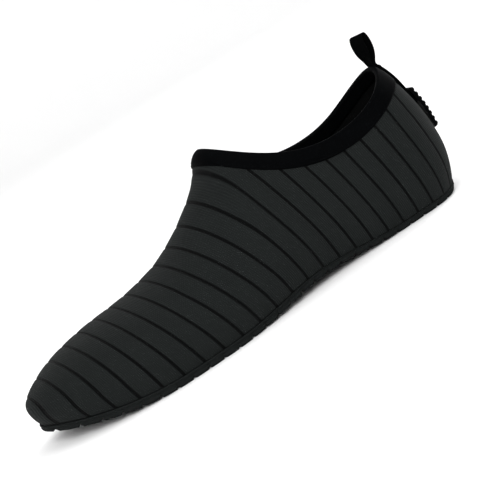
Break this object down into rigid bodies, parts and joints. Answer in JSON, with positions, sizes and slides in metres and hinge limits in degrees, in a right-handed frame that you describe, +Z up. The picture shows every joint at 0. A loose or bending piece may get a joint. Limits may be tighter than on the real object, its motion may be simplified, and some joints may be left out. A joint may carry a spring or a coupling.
{
  "type": "water shoe",
  "caption": "Slip-on water shoe for the left foot: stretch knit upper with cross grooves, elastic collar binding, heel pull loop and a thin ribbed rubber sole",
  "frame": {"origin": "On the floor, on a lug of the sole under the middle of the heel", "axes": "+X to the toe, +Y to the outer side of the left foot, +Z up from the floor the shoe stands on"},
  "size_m": [0.2684, 0.0938, 0.0974],
  "materials": {
    "knit": "matte stretch knit",
    "sole_rubber": "matte",
    "insole_fabric": "matte foam with a fabric face",
    "binding": "smooth elastic with a slight sheen",
    "webbing": "fine woven tape",
    "tab_rubber": "satin"
  },
  "bodies": {
    "root": {"upper": "knit", "outsole": "sole_rubber", "insole": "insole_fabric", "collar_binding": "binding", "pull_loop": "webbing", "heel_tab": "tab_rubber"}
  },
  "joints": []
}
